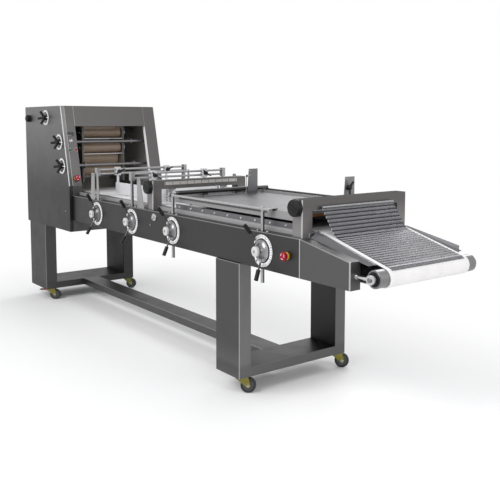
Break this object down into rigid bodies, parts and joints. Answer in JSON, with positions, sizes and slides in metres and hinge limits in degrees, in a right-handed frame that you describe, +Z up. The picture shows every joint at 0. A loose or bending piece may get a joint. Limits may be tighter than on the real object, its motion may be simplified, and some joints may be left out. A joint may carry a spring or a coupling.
{
  "type": "dough rolling machine",
  "caption": "Dough sheeting head with a long belt table, side guides, pressure board and lever dials, on swivel castors.",
  "frame": {"origin": "middle of the footprint, on the floor", "axes": "+X along the machine from the head to the belt's end, +Z up, the operator stands on the -Y side"},
  "size_m": [3.656, 0.8212, 1.456],
  "materials": {
    "frame_steel": "brushed",
    "bright_steel": "satin",
    "zinc": "yellow zinc plated",
    "wheel_grey": "matte",
    "pedal_red": "satin",
    "belt_white": "matte",
    "guide_white": "matte",
    "roller_tan": "satin",
    "sole_brown": "matte",
    "black_plastic": "satin",
    "scale_white": "satin",
    "button_green": "gloss",
    "button_red": "gloss",
    "motor_grey": "satin",
    "mat_wire": "bright"
  },
  "bodies": {
    "frame": {"belt_leg_frame": "frame_steel", "head_leg_frame": "frame_steel", "stretcher": "frame_steel", "near_side_cover": "frame_steel", "far_side_cover": "frame_steel", "nose_covers": "frame_steel", "belt": "belt_white", "belt_bed": "bright_steel", "take_up_bolts": "bright_steel", "head_near_side": "frame_steel", "head_far_side": "frame_steel", "head_front_frame": "frame_steel", "head_hood": "frame_steel", "head_base": "frame_steel", "gear_motor": "motor_grey", "roller_frame": "bright_steel", "scale_rings": "scale_white", "portal_frames": "frame_steel", "wire_mat": "mat_wire"},
    "belt_near_fork": {"belt_near_castor_fork": "zinc"},
    "belt_near_wheel": {"belt_near_castor_wheel": "wheel_grey"},
    "belt_far_fork": {"belt_far_castor_fork": "zinc"},
    "belt_far_wheel": {"belt_far_castor_wheel": "wheel_grey"},
    "head_near_fork": {"head_near_castor_fork": "zinc"},
    "head_near_wheel": {"head_near_castor_wheel": "wheel_grey"},
    "head_far_fork": {"head_far_castor_fork": "zinc"},
    "head_far_wheel": {"head_far_castor_wheel": "wheel_grey"},
    "brake": {"brake_pedal": "pedal_red"},
    "drum": {"drive_drum": "bright_steel"},
    "belt_end_roller": {"end_roller": "bright_steel"},
    "infeed_bearings": {"infeed_carrier": "bright_steel"},
    "infeed_sheeting": {"infeed_roller": "roller_tan"},
    "infeed_handle": {"infeed_gap_handle": "black_plastic"},
    "upper_bearings": {"upper_carrier": "bright_steel"},
    "upper_sheeting": {"upper_roller": "roller_tan"},
    "upper_handle": {"upper_gap_handle": "black_plastic"},
    "lower_bearings": {"lower_carrier": "bright_steel"},
    "lower_sheeting": {"lower_roller": "roller_tan"},
    "lower_handle": {"lower_gap_handle": "black_plastic"},
    "infeed_mate": {"infeed_mate_roller": "roller_tan"},
    "backing": {"backing_roller": "roller_tan"},
    "upper_knob": {"head_knob": "black_plastic"},
    "start_button_cap": {"start_button": "button_green"},
    "stop_button_cap": {"stop_button": "button_red"},
    "head_stop_button_cap": {"head_stop_button": "button_red"},
    "table_stop_button_cap": {"table_stop_button": "button_red"},
    "rod_frame": {"lift_frame": "bright_steel"},
    "board": {"pressure_board": "sole_brown", "board_tray": "bright_steel", "board_posts": "bright_steel"},
    "dial_1": {"height_dial_1": "bright_steel"},
    "dial_2": {"height_dial_2": "bright_steel"},
    "dial_3": {"height_dial_3": "bright_steel"},
    "dial_4": {"height_dial_4": "bright_steel"},
    "near_guide": {"near_side_guide": "guide_white"},
    "near_inner_guide": {"near_portal_guide": "guide_white"},
    "far_guide": {"far_side_guide": "guide_white"},
    "far_inner_guide": {"far_portal_guide": "guide_white"},
    "guide_screw": {"guide_knob": "black_plastic"},
    "end_screw": {"end_knob": "black_plastic"}
  },
  "joints": [
    {"name": "belt_near_swivel", "type": "hinge", "parent": "frame", "child": "belt_near_fork", "pos_m": [0.905, -0.30247, 0.095], "axis": [0, 0, 1], "continuous": true},
    {"name": "belt_near_roll", "type": "hinge", "parent": "belt_near_fork", "child": "belt_near_wheel", "pos_m": [0.93393, -0.268, 0.039], "axis": [-0.766, 0.6428, 0], "continuous": true},
    {"name": "belt_far_swivel", "type": "hinge", "parent": "frame", "child": "belt_far_fork", "pos_m": [0.905, 0.33853, 0.095], "axis": [0, 0, 1], "continuous": true},
    {"name": "belt_far_roll", "type": "hinge", "parent": "belt_far_fork", "child": "belt_far_wheel", "pos_m": [0.93393, 0.373, 0.039], "axis": [-0.766, 0.6428, 0], "continuous": true},
    {"name": "head_near_swivel", "type": "hinge", "parent": "frame", "child": "head_near_fork", "pos_m": [-1.545, -0.30447, 0.095], "axis": [0, 0, 1], "continuous": true},
    {"name": "head_near_roll", "type": "hinge", "parent": "head_near_fork", "child": "head_near_wheel", "pos_m": [-1.51608, -0.27, 0.039], "axis": [-0.766, 0.6428, 0], "continuous": true},
    {"name": "head_far_swivel", "type": "hinge", "parent": "frame", "child": "head_far_fork", "pos_m": [-1.545, 0.34053, 0.095], "axis": [0, 0, 1], "continuous": true},
    {"name": "head_far_roll", "type": "hinge", "parent": "head_far_fork", "child": "head_far_wheel", "pos_m": [-1.51608, 0.375, 0.039], "axis": [-0.766, 0.6428, 0], "continuous": true},
    {"name": "brake_press", "type": "hinge", "parent": "head_near_fork", "child": "brake", "pos_m": [-1.55014, -0.3106, 0.074], "axis": [-0.766, 0.6428, 0], "range_deg": [-15, 0]},
    {"name": "drum_spin", "type": "hinge", "parent": "frame", "child": "drum", "pos_m": [-1.23, 0.01803, 0.7797], "axis": [0, 1, 0], "continuous": true},
    {"name": "end_roller_spin", "type": "hinge", "parent": "frame", "child": "belt_end_roller", "pos_m": [1.7867, 0.01803, 0.718], "axis": [0, 1, 0], "continuous": true},
    {"name": "infeed_gap", "type": "slide", "parent": "frame", "child": "infeed_bearings", "axis": [1, 0, 0], "range_m": [-0.005, 0.005]},
    {"name": "infeed_spin", "type": "hinge", "parent": "infeed_bearings", "child": "infeed_sheeting", "pos_m": [-1.295, 0.01803, 1.266], "axis": [0, 1, 0], "continuous": true},
    {"name": "infeed_handle_turn", "type": "hinge", "parent": "frame", "child": "infeed_handle", "pos_m": [-1.418, 0.01803, 1.374], "axis": [0, 1, 0], "range_deg": [-61, 61]},
    {"name": "upper_gap", "type": "slide", "parent": "frame", "child": "upper_bearings", "axis": [1, 0, 0], "range_m": [-0.005, 0.005]},
    {"name": "upper_spin", "type": "hinge", "parent": "upper_bearings", "child": "upper_sheeting", "pos_m": [-1.295, 0.01803, 1.154], "axis": [0, 1, 0], "continuous": true},
    {"name": "upper_handle_turn", "type": "hinge", "parent": "frame", "child": "upper_handle", "pos_m": [-1.183, 0.01803, 1.201], "axis": [0, 1, 0], "range_deg": [-61, 61]},
    {"name": "lower_gap", "type": "slide", "parent": "frame", "child": "lower_bearings", "axis": [1, 0, 0], "range_m": [-0.005, 0.005]},
    {"name": "lower_spin", "type": "hinge", "parent": "lower_bearings", "child": "lower_sheeting", "pos_m": [-1.295, 0.01803, 0.986], "axis": [0, 1, 0], "continuous": true},
    {"name": "lower_handle_turn", "type": "hinge", "parent": "frame", "child": "lower_handle", "pos_m": [-1.14, 0.01803, 1.034], "axis": [0, 1, 0], "range_deg": [-61, 61]},
    {"name": "infeed_mate_spin", "type": "hinge", "parent": "frame", "child": "infeed_mate", "pos_m": [-1.37236, 0.01803, 1.29], "axis": [0, 1, 0], "continuous": true},
    {"name": "backing_spin", "type": "hinge", "parent": "frame", "child": "backing", "pos_m": [-1.37858, 0.01803, 1.07], "axis": [0, 1, 0], "continuous": true},
    {"name": "head_knob_turn", "type": "hinge", "parent": "frame", "child": "upper_knob", "pos_m": [-1.735, 0.01803, 1.369], "axis": [0, 1, 0], "range_deg": [-180, 180]},
    {"name": "start_button_press", "type": "slide", "parent": "frame", "child": "start_button_cap", "axis": [-0.9733, 0, -0.2293], "range_m": [0, 0.003], "stiffness_N_per_m": 900, "springref_m": -0.002},
    {"name": "stop_button_press", "type": "slide", "parent": "frame", "child": "stop_button_cap", "axis": [-0.9733, 0, -0.2293], "range_m": [0, 0.003], "stiffness_N_per_m": 900, "springref_m": -0.002},
    {"name": "head_stop_button_press", "type": "slide", "parent": "frame", "child": "head_stop_button_cap", "axis": [-0.9733, 0, -0.2293], "range_m": [0, 0.005], "stiffness_N_per_m": 1500, "springref_m": -0.002},
    {"name": "table_stop_button_press", "type": "slide", "parent": "frame", "child": "table_stop_button_cap", "axis": [0, 1, 0], "range_m": [0, 0.005], "stiffness_N_per_m": 1500, "springref_m": -0.002},
    {"name": "frame_lift", "type": "slide", "parent": "frame", "child": "rod_frame", "axis": [0, 0, 1], "range_m": [-0.004, 0.04]},
    {"name": "board_lift", "type": "slide", "parent": "frame", "child": "board", "axis": [0, 0, 1], "range_m": [-0.011, 0.03]},
    {"name": "dial_1_turn", "type": "hinge", "parent": "frame", "child": "dial_1", "pos_m": [-0.626, 0.01803, 0.747], "axis": [0, 1, 0], "range_deg": [-14, 132]},
    {"name": "dial_2_turn", "type": "hinge", "parent": "frame", "child": "dial_2", "pos_m": [-0.152, 0.01803, 0.747], "axis": [0, 1, 0], "range_deg": [-14, 132]},
    {"name": "dial_3_turn", "type": "hinge", "parent": "frame", "child": "dial_3", "pos_m": [0.321, 0.01803, 0.747], "axis": [0, 1, 0], "range_deg": [-37, 99]},
    {"name": "dial_4_turn", "type": "hinge", "parent": "frame", "child": "dial_4", "pos_m": [1.127, 0.01803, 0.747], "axis": [0, 1, 0], "range_deg": [-37, 99]},
    {"name": "near_guide_slide", "type": "slide", "parent": "rod_frame", "child": "near_guide", "axis": [0, 1, 0], "range_m": [-0.05, 0.1]},
    {"name": "far_guide_slide", "type": "slide", "parent": "rod_frame", "child": "far_guide", "axis": [0, 1, 0], "range_m": [-0.1, 0.05]},
    {"name": "near_inner_slide", "type": "slide", "parent": "frame", "child": "near_inner_guide", "axis": [0, 1, 0], "range_m": [-0.048, 0.048]},
    {"name": "far_inner_slide", "type": "slide", "parent": "frame", "child": "far_inner_guide", "axis": [0, 1, 0], "range_m": [-0.048, 0.048]},
    {"name": "guide_knob_turn", "type": "hinge", "parent": "frame", "child": "guide_screw", "pos_m": [0.0465, 0.01803, 0.966], "axis": [0, 1, 0], "range_deg": [-722, 722]},
    {"name": "end_knob_turn", "type": "hinge", "parent": "frame", "child": "end_screw", "pos_m": [1.3535, 0.01803, 0.966], "axis": [0, 1, 0], "range_deg": [-180, 180]}
  ],
  "couplings": [
    {"joint": "end_roller_spin", "follows": "drum_spin", "ratio": 1.9661},
    {"joint": "infeed_spin", "follows": "drum_spin", "ratio": -2},
    {"joint": "infeed_handle_turn", "follows": "infeed_gap", "rad_per_m": 209.44},
    {"joint": "upper_spin", "follows": "drum_spin", "ratio": -2},
    {"joint": "upper_handle_turn", "follows": "upper_gap", "rad_per_m": 209.44},
    {"joint": "lower_spin", "follows": "drum_spin", "ratio": -2},
    {"joint": "lower_handle_turn", "follows": "lower_gap", "rad_per_m": 209.44},
    {"joint": "infeed_mate_spin", "follows": "drum_spin", "ratio": 2},
    {"joint": "backing_spin", "follows": "drum_spin", "ratio": 1},
    {"joint": "dial_1_turn", "follows": "frame_lift", "rad_per_m": 57.143},
    {"joint": "dial_2_turn", "follows": "frame_lift", "rad_per_m": 57.143},
    {"joint": "dial_3_turn", "follows": "board_lift", "rad_per_m": 57.143},
    {"joint": "dial_4_turn", "follows": "board_lift", "rad_per_m": 57.143},
    {"joint": "far_inner_slide", "follows": "near_inner_slide", "ratio": -1},
    {"joint": "guide_knob_turn", "follows": "near_inner_slide", "rad_per_m": 261.8}
  ]
}
